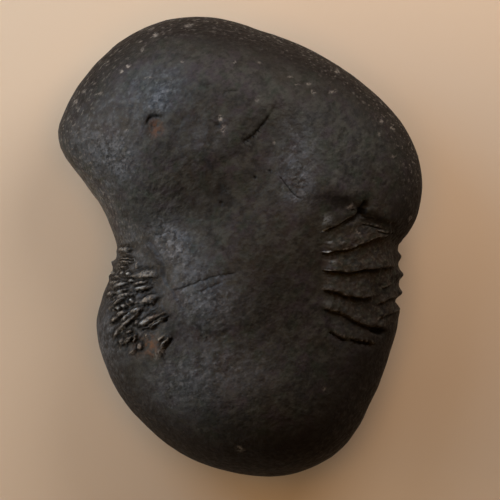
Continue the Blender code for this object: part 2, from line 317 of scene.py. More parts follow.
def stone_points(directions):
    """Places a unit sphere's points on the worn stone."""
    u, v, w = directions.T
    reach = np.hypot(u, v)
    angle = np.degrees(np.arctan2(v, u))
    radius = outline_radius(angle)
    x = reach * radius * np.cos(np.radians(angle))
    y = reach * radius * np.sin(np.radians(angle))

    slope = outline_radius(angle + HALF_STEP) - outline_radius(angle - HALF_STEP)
    slope = slope / np.radians(2 * HALF_STEP)
    at_rim = (1 - reach) * radius / np.hypot(1, slope / radius)
    inside = ease((at_rim - RIM_BAND) / RIM_BAND)
    depth = at_rim + inside * (edge_depth(x, y) - at_rim)
    over = roll_over(depth / CROWN_ROLL)
    under = roll_over(depth / KEEL_ROLL)

    crown = sum((mound(x, y, hill) for hill in HILLS.values()), CROWN)
    crown = crown + sum(mound(x, y, window, WINDOW_POWER) for window in WINDOWS.values())
    keel = sum((mound(x, y, hollow) for hollow in HOLLOWS_BELOW.values()), KEEL)
    rim = RIM_HEIGHT + RIM_RISE * np.cos(np.radians(angle - RIM_HIGH_SIDE)) * (1 - over)
    z = rim + np.where(w >= 0, crown * over, -keel * under)
    return np.stack((x, y, z), axis=1)


top = stone_points(np.array(((0.0, 0.0, 1.0),)))[0]
print("height over the middle", round(float(top[2]), 1), "mm")

# %% [markdown]
# ## Lines on the stone
# Ribs, cracks and folds all follow lines.  A few points give a line, and a cubic makes it
# smooth.  What matters to the relief is how far a point lies to one side of the line, and
# how far it is from the line's ends, where a rib or a crack dies out.

# %% Lines


def beside(x, y, path):
    """Signed distance from a line (positive on its left), and distances to its start and end."""
    nearest = np.full(len(x), np.inf)
    side = np.zeros(len(x))
    along = np.zeros(len(x))
    done = 0.0
    for (ax, ay), (bx, by) in zip(path, path[1:]):
        length = math.hypot(bx - ax, by - ay)
        ux, uy = (bx - ax) / length, (by - ay) / length
        t = np.clip((x - ax) * ux + (y - ay) * uy, 0, length)
        distance = np.hypot(x - ax - t * ux, y - ay - t * uy)
        left = np.sign(ux * (y - ay) - uy * (x - ax))
        closer = distance < nearest
        nearest = np.where(closer, distance, nearest)
        side = np.where(closer, left * distance, side)
        along = np.where(closer, done + t, along)
        done += length
    return side, along, done - along


def curve_through(points, steps=4):
    """A finer line that curves smoothly through the points, ends included."""
    points = np.array(points, dtype=float)
    slope = np.gradient(points, axis=0)
    line = [points[0]]
    for a, b, out_of, into in zip(points, points[1:], slope, slope[1:]):
        for t in np.linspace(0, 1, steps + 1)[1:]:
            from_a = (2 * t**3 - 3 * t**2 + 1) * a + (t**3 - 2 * t**2 + t) * out_of
            from_b = (3 * t**2 - 2 * t**3) * b + (t**3 - t**2) * into
            line.append(from_a + from_b)
    return line


print("points of a line through three:", len(curve_through(((0, 0), (1, 1), (2, 0)))))

# %% [markdown]
# ## Ribs like roof tiles
# Each rib of the ammonite rises gently to a crest and breaks off under it, where a gap is left;
# the finish paints the gap dark as shade and the crest pale as a highlight.  So a rib is given
# by its gap: how high the rib stands over it, how far back the rib reaches, half the width of
# the gap, and the line that it follows.

# %% Ribs: height, reach, half width of the gap, line of the gap
EAST_RIBS = (
    (1.1, 3, 0.34, ((20.5, 3.6), (23, 4.7), (25.2, 5.8), (27.3, 7), (29.1, 8), (30.6, 9.3))),
    (1.5, 3.2, 0.28, ((20.4, -1.9), (22.6, -1.5), (24.3, -1), (26.9, -0.8), (28.4, -0.3), (30.4, 0.5),
                      (32.5, 1.1), (34.3, 2.2), (37.1, 3), (39.4, 3.8))),
    (1.6, 3.4, 0.36, ((20.4, -6.2), (21.5, -6.3), (25.9, -6.6), (28.5, -6.6), (31.4, -6.1), (35, -5.9),
                      (40, -5.4))),
    (1.5, 3.2, 0.32, ((20.4, -11.3), (24.3, -11.7), (26.5, -12.9), (29.1, -13.2), (31.7, -13.3),
                      (34, -13.1))),
    (0.9, 1.6, 0.28, ((35.8, -11.2), (37.4, -10.5), (39.2, -10))),
    (1.1, 2.2, 0.28, ((34.8, -15.2), (37.1, -14.4), (38.9, -13.6), (40.6, -13.1))),
    (1.2, 3, 0.38, ((20.4, -15.8), (23, -16.7), (25, -17.3), (27.3, -18.3), (29.5, -19.6),
                    (31.7, -20.6), (33.8, -21), (37.1, -21.8))),
    (0.9, 1.8, 0.3, ((34.8, -19.3), (37.5, -18), (39.4, -17.3), (41.4, -16.5))),
    (0.7, 2.4, 0.26, ((22.6, -21.8), (25.2, -23.1), (27.1, -23.9), (29.1, -24.1), (31.7, -24.7),
                      (35, -25.2))),
    (0.3, 0.8, 0.14, ((31, 7.8), (32.7, 7.6), (34.3, 7.3))),
    (0.3, 0.8, 0.14, ((30.6, 5.8), (33.2, 5.4), (36.1, 4.9))),
    (0.35, 0.8, 0.18, ((34.3, 4.3), (37.1, 3.9), (40, 3.5))),
    (0.4, 0.9, 0.22, ((27.8, 9.4), (29.2, 9.6))),
)
WEST_RIBS = (
    (0.7, 1.1, 0.22, ((-31.7, -2.2), (-30.2, -2.3), (-29.1, -2.3), (-28, -2.2))),
    (0.3, 0.5, 0.15, ((-30.9, -3), (-28.9, -2.9))),
    (0.5, 0.7, 0.2, ((-31.9, -4.9), (-30.6, -5.1), (-29.3, -5), (-28.3, -4.6), (-27.6, -4), (-27.4, -3.3))),
    (0.6, 0.9, 0.22, ((-31.9, -6), (-30.9, -5.9), (-29.6, -5.7))),
    (0.6, 0.8, 0.24, ((-26.9, -3.8), (-26.8, -4.9), (-26.8, -6))),
    (0.8, 1.6, 0.2, ((-33.2, -8.4), (-30.2, -8.2), (-27.1, -8.2), (-24.8, -8.3), (-22.6, -8.3),
                     (-20.9, -8.4))),
    (0.7, 0.7, 0.2, ((-33.6, -11.1), (-31.7, -10), (-29.9, -9))),
    (0.8, 0.8, 0.24, ((-33.4, -11.4), (-32.6, -11.2), (-31, -10.8), (-29, -10))),
    (0.8, 0.8, 0.22, ((-33.9, -13.6), (-32.4, -12.9), (-30.9, -12), (-29.3, -11.2))),
    (0.7, 0.7, 0.2, ((-32.3, -14.2), (-30.8, -13.1), (-29.2, -12.2))),
    (0.9, 0.9, 0.27, ((-33.3, -16.9), (-31.9, -15.6), (-30.6, -14.4), (-29.3, -13.4))),
    (0.9, 1, 0.25, ((-32.6, -17.1), (-30.8, -16.3), (-28.9, -15.6), (-27.4, -15.1), (-25, -14.8),
                    (-23, -14.8), (-21.4, -14.6))),
    (0.9, 0.9, 0.3, ((-33.3, -20.6), (-31.9, -19.6), (-30.8, -18.6), (-29.3, -17.3))),
    (0.7, 0.7, 0.18, ((-29.9, -18.7), (-28.4, -17.3))),
    (1, 1, 0.27, ((-31.5, -22.9), (-30, -21.8), (-28.9, -20.5), (-27.6, -19.4), (-26.7, -18.4),
                  (-25.2, -16.9), (-24.2, -15.7))),
    (0.8, 0.9, 0.22, ((-30.1, -25.9), (-28.9, -24.7), (-28, -24), (-27.1, -23.4))),
    (0.7, 0.8, 0.3, ((-28.1, -28.1), (-26.7, -27.4), (-25.7, -25.9))),
    (0.4, 0.5, 0.18, ((-31, -25), (-30.9, -26.6))),
    (0.7, 0.8, 0.2, ((-27.5, -10.2), (-25.4, -9.7), (-23.9, -9.4))),
    (0.8, 0.9, 0.26, ((-26.2, -12.3), (-24.8, -11.8), (-23.5, -10.8), (-22.4, -10.5))),
    (0.7, 0.8, 0.22, ((-28.3, -13.4), (-26.8, -12.6))),
    (0.8, 1.1, 0.2, ((-24.9, -20.7), (-23.4, -20.1), (-20.9, -18.8), (-18.4, -17))),
    (1, 1, 0.32, ((-22.7, -21.4), (-20.6, -20.1), (-18.3, -18.3))),
    (0.8, 0.9, 0.2, ((-20.6, -24.8), (-18.6, -23.1))),
    (1, 1, 0.3, ((-21.4, -28.4), (-20, -27), (-18.5, -25.1), (-17.2, -22.9))),
    (0.5, 0.8, 0.26, ((-24.4, -22.1), (-24.2, -23.9))),
    (0.8, 0.8, 0.3, ((-27, -11.9), (-25, -11.5), (-22.7, -10.5))),
    (0.6, 0.6, 0.2, ((-33.9, -13.9), (-31.8, -13.3))),
    (0.8, 0.8, 0.26, ((-28.9, -25.4), (-26.6, -23.1))),
    (0.7, 0.7, 0.3, ((-22.1, -15.3), (-21.1, -13.8))),
)
CREST = 0.5  # from the gap to the rib's crest
RIB_POWER = 1.6  # 2 is a round back, less is a sharper one
RIB_TAPER = 0.8  # length over which a rib runs out at its end
RUN_IN = 1.5  # the east ribs come out of the stone slowly on their left
RIB_UNEVEN = 0.3  # how much a rib's height changes along it
CREST_WIDTHS = (0.22, 0.34)  # width of the painted highlight on the crests, east and west
CREST_HIGHLIGHTS = (0.5, 1.0)  # how strong the painted highlight on the crests is, east and west
FLATTER_FROM, FLATTER_OVER, FLATTER_BY = 36.0, 5.0, 0.55  # the east ribs get lower to the right
GAP_DEPTH = 3.0  # depth of a gap for each millimetre of its half width
GAP_OPEN, GAP_CHANGE, GAP_LEAST = 0.75, 1.5, 0.1  # how open a gap is, how far that changes
RIB_REACH = 5.0  # ribs keep their height this far below the rim
RIB_FADE = 9.0  # and die out over this much more


def rib_relief(x, y, uneven):
    """How far the ribs stand out, and how near a gap and a crest each point lies (0 to 1); the finish paints
    these as shade and highlight.
    """
    relief, gap_shade, crest_highlight = np.zeros((3, len(x)))
    for ribs, run_in, width, pale in zip((EAST_RIBS, WEST_RIBS), (RUN_IN, 0.0), CREST_WIDTHS, CREST_HIGHLIGHTS):
        for height, reach, half, line in ribs:
            (x_from, y_from), (x_to, y_to) = np.min(line, axis=0), np.max(line, axis=0)
            margin = 3 * reach + CREST
            near = (x > x_from - margin) & (x < x_to + margin) & (y > y_from - margin) & (y < y_to + margin)
            side, start, end = beside(x[near], y[near], curve_through(line))
            ends = ease(start / RIB_TAPER) * ease(end / RIB_TAPER)
            back = np.exp(-(np.maximum(side - CREST, 0) / reach)**RIB_POWER) * ease(side / CREST)
            grown = height * ease(start / (RIB_TAPER + run_in)) * ease(end / RIB_TAPER)
            broken = np.clip(GAP_OPEN + GAP_CHANGE * uneven[near], GAP_LEAST, 1)
            cut = ends * np.exp(-(side / half)**2) * broken
            flatter = 1 - FLATTER_BY * ease((x[near] - FLATTER_FROM) / FLATTER_OVER)
            stands = np.maximum(relief[near], grown * back * (1 + RIB_UNEVEN * uneven[near]) * flatter)
            relief[near] = stands - GAP_DEPTH * half * cut
            gap_shade[near] = np.maximum(gap_shade[near], cut)
            crest_highlight[near] = np.maximum(crest_highlight[near], pale * ends * np.exp(-((side - CREST) / width)**2))
    return relief, gap_shade, crest_highlight * (1 - gap_shade)


print(len(EAST_RIBS), "ribs in the east window,", len(WEST_RIBS), "in the west window")

# %% [markdown]
# ## Short broken ribs
# In the west window the river has cut across the ribs, and most are left as short bars with
# flat worn backs, painted pale as a highlight, and a groove round each, painted dark as shade.
# Between them is a fine wave of smaller ribs, whose gaps are painted dark as shade too.
# Three more forms belong to the windows: nubs, where ribs end in the stone's outline, hollows
# where a piece is gone, and the brow of the upper lobe, which hangs over the east ribs.

# %% Short ribs, nubs and the brow
BARS = (  # x, y, half length, half width, turn, height
    (-29.6, -0.6, 1.8, 0.75, 2, 0.9), (-29.2, -3.1, 1.9, 0.32, 3, 0.7), (-29.3, -3.9, 1.7, 0.3, 2, 0.6),
    (-30, -5.3, 1, 0.3, 7, 0.6), (-32.5, -6.9, 0.7, 0.6, 7, 0.7), (-30.2, -6.9, 0.7, 0.55, 79, 0.6),
    (-28.4, -6.9, 0.8, 0.45, 17, 0.8), (-23.9, -7, 3, 1.12, 5, 0.5), (-32.3, -9.2, 1.4, 0.55, 13, 0.7),
    (-30.8, -10, 2, 0.5, 20, 1), (-30.4, -11.5, 1.9, 0.45, 18, 0.9), (-28.1, -8.8, 0.9, 0.45, 19, 0.6),
    (-33.2, -12, 1.2, 0.65, 30, 0.7), (-25.3, -9.2, 1.9, 0.5, 12, 0.8), (-24.7, -10.6, 2.3, 0.6, 8, 1),
    (-29.3, -12.6, 2.2, 0.55, 16, 0.9), (-30.9, -14.4, 2.1, 0.42, 35, 1),
    (-23.3, -13.5, 2.8, 0.95, 23, 0.9), (-30.9, -15.9, 0.6, 0.65, 39, 0.8),
    (-29.6, -15.3, 0.5, 0.55, 53, 0.8), (-27.6, -13.9, 0.8, 0.55, -45, 0.9),
    (-30.1, -17.1, 1.7, 0.55, 27, 0.9), (-26.5, -16.2, 1.8, 0.6, 23, 1), (-32, -18.5, 1.1, 0.65, 37, 0.7),
    (-29.1, -18.1, 1.6, 0.65, 42, 0.9), (-29.2, -19.7, 2.3, 0.6, 43, 0.8),
    (-23, -18.6, 3.1, 0.85, 27, 1.1), (-21.4, -19.3, 3.5, 0.3, 28, 0.9),
    (-26.4, -19.5, 0.9, 0.55, 55, 0.5), (-28.3, -21.8, 0.8, 0.55, 24, 0.7),
    (-30.3, -24.1, 1, 0.65, 67, 0.6), (-28.5, -23.8, 1.3, 0.55, 47, 0.6), (-19, -24.3, 1.7, 0.35, 41, 1),
    (-26.9, -23.6, 1.2, 0.5, 77, 0.5), (-25.5, -25.5, 1, 0.55, 82, 0.5),
    (-31.6, -22.1, 1.5, 0.65, 56, 0.5),
)
BAR_POWER = 3.0  # how flat the backs of the bars are
BAR_RIM = 0.45  # width of the groove round a bar, which is also painted dark as shade
SMALL_RIB = 1.15  # distance between the small ribs
SMALL_RIB_HEIGHT = 0.12
SMALL_RIB_TURN = 38  # degrees; they lie level at the top of the window and turn further down
TURN_FROM, TURN_OVER = -4.0, 8.0  # where they start to turn, and over what length
SMALL_RIB_WARP = 3.0  # how far noise bends them
NUBS = (  # x, y, radius, height (below 0 for a notch)
    (41.4, -2.5, 1.1, 1.2), (41.4, -7.2, 1.1, 1.2), (41.1, -11.8, 1.1, 1.2), (40.6, -16.4, 1.4, 0.5),
    (40.9, -14, 0.9, -0.7), (-32.6, -1.1, 0.6, 0.8), (-33, -4.1, 0.7, 1.4), (-33.6, -7.6, 0.7, 0.5),
)
HOLLOWS = (  # x, y, half length, half width, turn, depth
    (35.6, -21.6, 2.3, 0.9, -12, 1.5), (31, 9.8, 2.4, 1, 65, 1.1), (28.6, 6.7, 2.6, 0.6, 30, 0.5),
)
BROW = ((19.8, 14), (23.6, 14.8), (25.6, 13.2), (28.5, 12.6), (30.7, 11.3), (32.4, 9.6), (35.9, 8.3),
        (38.5, 7.4), (42, 5.4))
BROW_HEIGHT = 1.1
BROW_BACK = 4.5  # how far back the brow swells
BROW_FRONT = 1.5  # how soft its lower edge is
BROW_TAPER = 4.0  # length over which it runs out at its ends


def bar_relief(x, y):
    """How high the bars stand, how much of each point they cover, and the dark line round them."""
    relief, cover, around = np.zeros((3, len(x)))
    for cx, cy, length, width, turn, height in BARS:
        here = mound(x, y, (cx, cy, length, width, turn, 1.0), BAR_POWER)
        wider = (cx, cy, length + BAR_RIM, width + BAR_RIM, turn, 1.0)
        relief = np.maximum(relief, height * here)
        cover = np.maximum(cover, here)
        around = np.maximum(around, mound(x, y, wider, BAR_POWER))
    return relief, cover, around - cover


def small_ribs(x, y, warp):
    """A wave from -1 in the gaps to 1 on the crests of the close small ribs."""
    turn = np.radians(SMALL_RIB_TURN) * ease((TURN_FROM - y) / TURN_OVER)
    across = y * np.cos(turn) - x * np.sin(turn)
    return np.cos(2 * np.pi * across / SMALL_RIB + SMALL_RIB_WARP * warp)


def brow_relief(x, y):
    """The edge of the upper lobe, which hangs over the east window."""
    side, start, end = beside(x, y, curve_through(BROW))
    soft = np.where(side > 0, BROW_BACK, BROW_FRONT)
    return BROW_HEIGHT * ease(np.minimum(start, end) / BROW_TAPER) * np.exp(-(side / soft)**2)


print(len(BARS), "short ribs,", len(NUBS), "nubs")

# %% [markdown]
# ## Cracks, folds, pits and knocks
# Under the river's polish the stone has a few hairline cracks, a curved step where a flake
# came away, soft folds, small pits, and pale bruises where other stones hit it.  Each is a
# short list of places.  The bruises are dents so shallow that their colour shows more than
# their shape.  Glints are painted highlights, small pale bluish spots on the ribs, and they
# have no relief of their own.

# %% Places of the cracks and folds
CRACKS = {  # half width, depth, line
    "across the boss": (0.17, 0.3, ((-14, -10.2), (-9.9, -8.6), (-6.5, -7.5), (-3.2, -6.9),
                                    (-0.3, -6.5))),
    "its faint end": (0.17, 0.26, ((-17.7, -11.3), (-14, -10.2), (-11.5, -9.3))),
    "beside it": (0.16, 0.24, ((-11.4, -11.7), (-8.3, -10.6), (-5.7, -9.4), (-3.9, -8.7))),
    "towards the brow": (0.17, 0.26, ((9.8, 18.4), (14, 13.1), (16.3, 12.4))),
    "under the flake's edge": (0.24, 0.38, ((7.6, 33.9), (6.4, 31.8), (4.5, 29.6), (2.7, 27.9),
                                            (0.3, 26.3))),
    "on the upper lobe": (0.22, 0.2, ((-4.3, 37.4), (-3.9, 39.2), (-1.9, 39.7), (0.3, 39.7))),
    "over the rusty pit": (0.32, 0.6, ((-23.7, 30.6), (-23.4, 32.6), (-21.8, 33.3), (-19.5, 33.1))),
    "scratch": (0.16, 0.1, ((7, -27.5), (6.9, -29))),
    "second scratch": (0.16, 0.1, ((6.8, -30.6), (6.6, -32.4))),
}
FOLDS = {  # height (below 0 for a groove), half width, line
    "seam": (0.22, 0.32, ((-26, 3.1), (-23.4, 0), (-20.6, -4.2), (-20.2, -8), (-18, -11.9))),
    "beside the seam": (-0.3, 0.32, ((-24.9, 3.5), (-22.2, 0.3), (-19.4, -4), (-19, -8),
                                     (-16.7, -11.6), (-14.6, -15.4), (-12, -19.2))),
    "under the boss": (-0.35, 1.2, ((-15.6, -17.1), (-10.4, -21.5), (-5.2, -22.8), (-0.5, -19.7))),
    "beside the knoll": (-0.35, 0.7, ((-16.9, 30.4), (-14.5, 32.7), (-12.2, 34.8))),
    "wrinkle over the fold": (-0.18, 0.35, ((-26, 6), (-22.8, 4.9), (-19.5, 4.7), (-16.1, 7.3))),
    "wrinkle in the fold": (-0.18, 0.3, ((-24.4, 3.6), (-20.8, 2.9), (-17.6, 4.2), (-15.6, 6))),
    "wrinkle beside it": (-0.22, 0.4, ((-14, 11.4), (-13, 9.1), (-14.5, 6.5), (-16.6, 3.9))),
    "wrinkle on the crest": (-0.16, 0.35, ((-31.7, 13.5), (-28.5, 15.3), (-25.4, 17.4))),
    "wrinkle below it": (-0.16, 0.35, ((-27.2, 10.9), (-23.4, 13), (-20, 15.8))),
    "ridge on the upper lobe": (0.18, 0.35, ((-6.4, 42.6), (-6, 40.5), (-5.3, 38.4))),
    "below the flake": (-0.22, 0.4, ((-0.2, 24.2), (-1.8, 22.6), (-3.7, 20.6), (-6.6, 20.4))),
    "along the valley": (-0.25, 0.9, ((-10.6, 23.6), (-8.3, 20.4), (-5.6, 16.2), (-4.7, 11.8))),
}
FLAKE_EDGE = ((8.9, 37), (8, 34.6), (6.5, 31.9), (4.5, 29.6), (2.7, 27.9), (0.1, 26.3))
FLAKE_STEP = 0.28  # height of the step
FLAKE_SOFT = 0.15  # how soft its edge is
FLAKE_FADE = 5.0  # how far from the edge the step dies out
CRACK_TAPER, FLAKE_TAPER, FOLD_TAPER = 1.5, 2.5, 3.0  # lengths over which they run out
print(len(CRACKS), "cracks and", len(FOLDS), "folds")

# %% Places of the pits, knocks and glints
PITS = {  # x, y, radius, depth
    "boss pit": (3.8, 17.7, 0.4, 0.5),
    "brow pit": (7.6, 19.3, 0.3, 0.3),
    "valley pit": (-4.6, 11.2, 0.5, 0.35),
    "dark hollow": (-8.6, 21.2, 1.3, 0.16),
    "second dark hollow": (-4.9, 14.9, 1.1, 0.2),
    "beside the brow": (31.3, 8.1, 0.6, 0.6),
    "below the fleck": (-5.6, 31.1, 0.7, 0.25),
}
KNOCKS = (  # x, y, half length, half width, turn, how pale
    (-21.6, 54.6, 0.7, 0.5, 20, 0.8), (-13.3, 57, 1, 0.5, 12, 0.7), (-22.7, 56.3, 0.7, 0.35, 35, 0.6),
    (-25.8, 52.9, 0.5, 0.4, 0, 0.8), (-28.9, 46.3, 0.5, 0.45, 0, 1), (-30.4, 44.9, 0.45, 0.4, 0, 1),
    (-25.1, 50.4, 0.6, 0.35, 60, 0.5), (-34.1, 47.7, 0.6, 0.35, 40, 0.5),
    (-42.4, 37.6, 0.8, 0.45, 50, 0.7), (-40.3, 40, 0.5, 0.4, 0, 0.5), (-36.5, 39.2, 1.1, 0.35, 10, 0.5),
    (-14.7, 47.2, 0.45, 0.35, 0, 0.5), (-23.4, 43.3, 0.9, 0.25, 0, 0.5), (-18.5, 39.4, 0.35, 0.3, 0, 0.6),
    (-28.9, 29.8, 0.4, 0.35, 0, 0.8), (25, 45.3, 0.6, 0.5, 30, 0.7), (23.9, 39.8, 0.9, 0.35, 20, 0.8),
    (12.8, 43.6, 0.5, 0.35, 0, 0.6), (14.4, 41.5, 0.45, 0.35, 0, 0.7), (17.6, 41.7, 0.5, 0.4, 0, 0.6),
    (18.7, 39.6, 0.6, 0.5, 0, 0.7), (36.3, 32.2, 0.6, 0.4, 60, 0.7), (35.7, 28.9, 0.5, 0.4, 0, 0.6),
    (39.1, 30.6, 0.4, 0.35, 0, 0.6), (42.1, 21.1, 0.5, 0.35, 80, 0.6), (39.4, 23.2, 0.4, 0.35, 0, 0.5),
    (-1.3, 47.2, 0.35, 0.3, 0, 0.6), (4.9, 47, 0.6, 0.25, -10, 0.5), (4.4, 37.4, 0.4, 0.35, 0, 0.5),
    (8.8, 26.7, 0.35, 0.5, 0, 0.6), (44, 7.4, 0.5, 0.5, 0, 0.6), (0, -51.8, 0.8, 0.7, 0, 0.7),
    (21.6, -36.3, 0.45, 0.4, 0, 0.6), (-5, 32.8, 0.45, 0.8, 0, 1.3), (-4.2, 29.8, 0.3, 0.8, 0, 1),
    (30, 3.6, 1, 0.3, -55, 0.7), (27.7, 10.5, 0.9, 0.4, 25, 0.5),
)
KNOCK_DEPTH = 0.12  # of a knock with a paleness of 1
GLINTS = (  # x, y, half length, half width, turn, how bright
    (-28.5, -6.9, 0.5, 0.26, -10, 1), (-27.1, -3.5, 0.16, 0.4, 0, 0.8), (-27.6, -8.7, 0.3, 0.2, 20, 0.6),
    (-25.5, -10.7, 0.85, 0.24, 5, 1), (-24.4, -10.2, 0.7, 0.16, 15, 0.6), (-26.4, -16, 0.5, 0.22, 10, 1),
    (-27.6, -13.8, 0.3, 0.3, -30, 0.9), (-24.3, -19.4, 0.9, 0.36, 20, 1),
    (-23.2, -18.9, 0.6, 0.2, 25, 0.6), (-29, -18.1, 0.5, 0.2, 45, 0.7), (-31, -16, 0.35, 0.22, 45, 0.7),
    (-29.8, -15.5, 0.3, 0.22, 45, 0.8), (-29.8, -9.7, 0.9, 0.16, 25, 0.8),
    (-30.6, -11.8, 0.9, 0.15, 30, 0.7), (-28.5, -17.1, 0.3, 0.2, 40, 0.5),
    (-19.2, -24.5, 1.1, 0.15, 42, 0.8), (-20.6, -19.3, 1.6, 0.15, 30, 0.6),
    (-30.1, -21.3, 1.2, 0.14, 48, 0.6), (-29.2, -1, 0.7, 0.3, 0, 0.3), (21.7, 4.4, 1.1, 0.24, 31, 0.9),
    (22.6, 1.4, 0.7, 0.3, 20, 0.3), (21.9, -1, 0.9, 0.16, 15, 0.9), (23.4, -3.6, 1, 0.4, 0, 0.3),
    (22.6, -5.8, 1.3, 0.14, 2, 0.9), (21.8, 6.8, 0.9, 0.5, 30, 0.35), (25.8, 1.5, 0.6, 0.3, 10, 0.25),
)
SPOT_POWER = 4  # spots have a flatter middle and a steeper edge than hills
print(len(PITS), "pits,", len(KNOCKS), "knocks and", len(GLINTS), "glints")

# %% Relief of the skin


def spot(x, y, cx, cy, length, width=None, turn=0):
    """1 in the middle of a spot, falling softly to 0 past its edge."""
    return mound(x, y, (cx, cy, length, width or length, turn, 1.0), SPOT_POWER)


def crack_depth(x, y):
    """How deep the cracks cut."""
    depth = np.zeros(len(x))
    for width, deep, line in CRACKS.values():
        side, start, end = beside(x, y, curve_through(line))
        ends = ease(np.minimum(start, end) / CRACK_TAPER)
        depth = np.maximum(depth, deep * np.exp(-(side / width)**2) * ends)
    return depth


def flake_step(x, y):
    """Height lost on the lower right of the flake's edge, dying out away from it."""
    side, start, end = beside(x, y, curve_through(FLAKE_EDGE))
    drop = 1 / (1 + np.exp(-side / FLAKE_SOFT))
    ends = ease(np.minimum(start, end) / FLAKE_TAPER)
    return -FLAKE_STEP * drop * np.exp(-np.abs(side) / FLAKE_FADE) * ends


def fold_relief(x, y):
    """Height of the soft ridges and grooves."""
    relief = np.zeros(len(x))
    for height, half, line in FOLDS.values():
        side, start, end = beside(x, y, curve_through(line))
        relief += height * np.exp(-(side / half)**2) * ease(np.minimum(start, end) / FOLD_TAPER)
    return relief


groove = fold_relief(np.array((-5.2,)), np.array((-22.8,)))[0]
print("depth of the groove under the boss", round(-float(groove), 2), "mm")

# %% [markdown]
# ## The mesh
# Subdividing a cube and blowing it up to a ball gives quads of nearly one size.  Then only the
# places with fine relief are split further, so the mesh stays light where the stone is plain.
# Each round of splitting keeps closer to the relief than the one before.  Its margin is about
# one of the squares that it splits, so that no thin crack falls between the points.

# %% Helpers for the mesh
PATCH_EDGE = 0.30  # how far into a window's soft edge the fine squares reach


def positions(bm):
    """The vertices as an array."""
    return np.array([vertex.co for vertex in bm.verts])


def move_to(bm, points):
    """Moves the vertices to an array of places."""
    for vertex, point in zip(bm.verts, points):
        vertex.co = point


def near_lines(x, y, lines, margin):
    """True within a margin of any of the lines."""
    near = np.zeros(len(x), dtype=bool)
    for line in lines:
        reach = np.max(np.abs(np.array(line) - np.mean(line, axis=0))) + margin
        here = np.max(np.abs(np.stack((x, y), axis=1) - np.mean(line, axis=0)), axis=1) < reach
        near[here] |= np.abs(beside(x[here], y[here], curve_through(line))[0]) < margin
    return near


def wants_detail(points, windows, lines, spots, margin, depth):
    """True where the ribs, cracks, pits and knocks are, and a margin round them."""
    x, y, z = points.T
    fine = near_lines(x, y, lines, margin)
    for shape in windows:
        fine |= mound(x, y, shape[:5] + (1.0,), WINDOW_POWER) > PATCH_EDGE
    for cx, cy, length, *_ in spots:
        fine |= np.hypot(x - cx, y - cy) < length + margin
    return fine & (z > RIM_HEIGHT - depth)


def refine(bm, *wanted):
    """Splits the squares that carry fine relief in four."""
    bm.verts.index_update()
    fine = wants_detail(stone_points(positions(bm)), *wanted)
    chosen = [edge for edge in bm.edges if all(fine[vertex.index] for vertex in edge.verts)]
    bmesh.ops.subdivide_edges(bm, edges=chosen, cuts=1, use_grid_fill=True)
    for vertex in bm.verts:
        vertex.co.normalize()


print("squares are split in four down to", RIB_REACH + RIB_FADE, "mm below the rim")

# %% A ball of quads, finer where the detail is
GRID = 50  # squares along each side of the cube
EAST_GAPS = [line for *_, line in EAST_RIBS]
CRACK_LINES = [line for _, _, line in CRACKS.values()] + [FLAKE_EDGE]
LINES = EAST_GAPS + CRACK_LINES + [line for _, _, line in FOLDS.values()]
SPOTS = [place[:3] for place in list(PITS.values()) + list(KNOCKS) + list(BARS)]
SHORT = [place[:3] for place in list(PITS.values()) + list(BARS) + list(GLINTS)]
ROUNDS = (  # windows, lines, spots, margin round them, and how far below the rim
    (WINDOWS.values(), LINES, SPOTS, 1.9, RIB_REACH + RIB_FADE),
    (WINDOWS.values(), LINES, SPOTS, 0.8, RIB_REACH + RIB_FADE),
    ((), EAST_GAPS + CRACK_LINES, SHORT, 0.45, RIB_REACH),
)

bm = bmesh.new()
bmesh.ops.create_cube(bm, size=2.0)
bmesh.ops.subdivide_edges(bm, edges=bm.edges[:], cuts=GRID - 1, use_grid_fill=True)
even = np.tan(positions(bm) * np.pi / 4)
move_to(bm, even / np.linalg.norm(even, axis=1, keepdims=True))
for wanted in ROUNDS:
    refine(bm, *wanted)
    print("refined:", len(bm.verts), "vertices,", sum(len(face.verts) - 2 for face in bm.faces), "triangles")

# %% [markdown]
# ## Shape the stone
# The ball takes the worn stone's form, with some slow unevenness.  The fine relief is then
# pushed out along the surface's own direction, so the ribs also stand out sideways at the
# waist and show as nubs in the outline.

# %% The worn form
UNEVEN = ((0.30, 17.0), (0.14, 6.0), (0.07, 2.6))  # height and size of the lumps


def noise_at(points, size, seed=0.0, where=None):
    """Smooth noise from -1 to 1 with lumps of the given size; 0 outside a mask, if one is given."""
    chosen = np.ones(len(points), dtype=bool) if where is None else where
    values = np.zeros(len(points))
    values[chosen] = [noise.noise(Vector(point)) for point in points[chosen] / size + seed]
    return values


def push_out(bm, distances):
    """Moves each vertex along the surface's direction there."""
    bm.normal_update()
    for vertex, distance in zip(bm.verts, distances):
        vertex.co += vertex.normal * distance


move_to(bm, stone_points(positions(bm)))
points = positions(bm)
push_out(bm, sum(height * noise_at(points, size) for height, size in UNEVEN))
points = positions(bm)
print("worn form from", points.min(axis=0).round(1), "to", points.max(axis=0).round(1), "mm")

# %% [markdown]
# ## Where the relief shows
# The windows reach a little way down the sides, and the marks of the upper side die out below
# the rim, so nothing ends in a hard line.  No crest or crack is ruled: each place is moved a
# little by noise before the relief is looked up, and that makes the lines stray.

# %% Where the relief shows
SIDE_FADE = 9.0  # the marks of the upper side die out over this much below the rim
WINDOW_EDGE = 0.002  # a window ends where its mound is lower than this
CREST_STRAY = (0.3, 3.5, (7.0, 19.0))  # how far crests stray, over what length, and two seeds
CRACK_STRAY = (0.22, 1.2, (0.0, 4.0))
SPOT_STRAY = (0.35, 0.8, (11.0, 13.0))  # this makes the edges of spots rough
NOISE = {  # size of the lumps in mm, and a seed
    "gaps": (1.6, 3.0), "fibres": (0.55, 5.0), "grit": (0.9, 23.0), "warp": (2.4, 41.0),
    "fine warp": (0.9, 43.0), "small ribs": (1.7, 47.0), "brow": (2.2, 31.0),
    "scuffs": (5.0, 53.0), "grain": (8.0, 61.0),
}


def strayed(distance, size, seeds, where):
    """The places x and y, each moved a little by a noise of its own."""
    return (c + distance * noise_at(points, size, seed, where) for c, seed in zip((x, y), seeds))


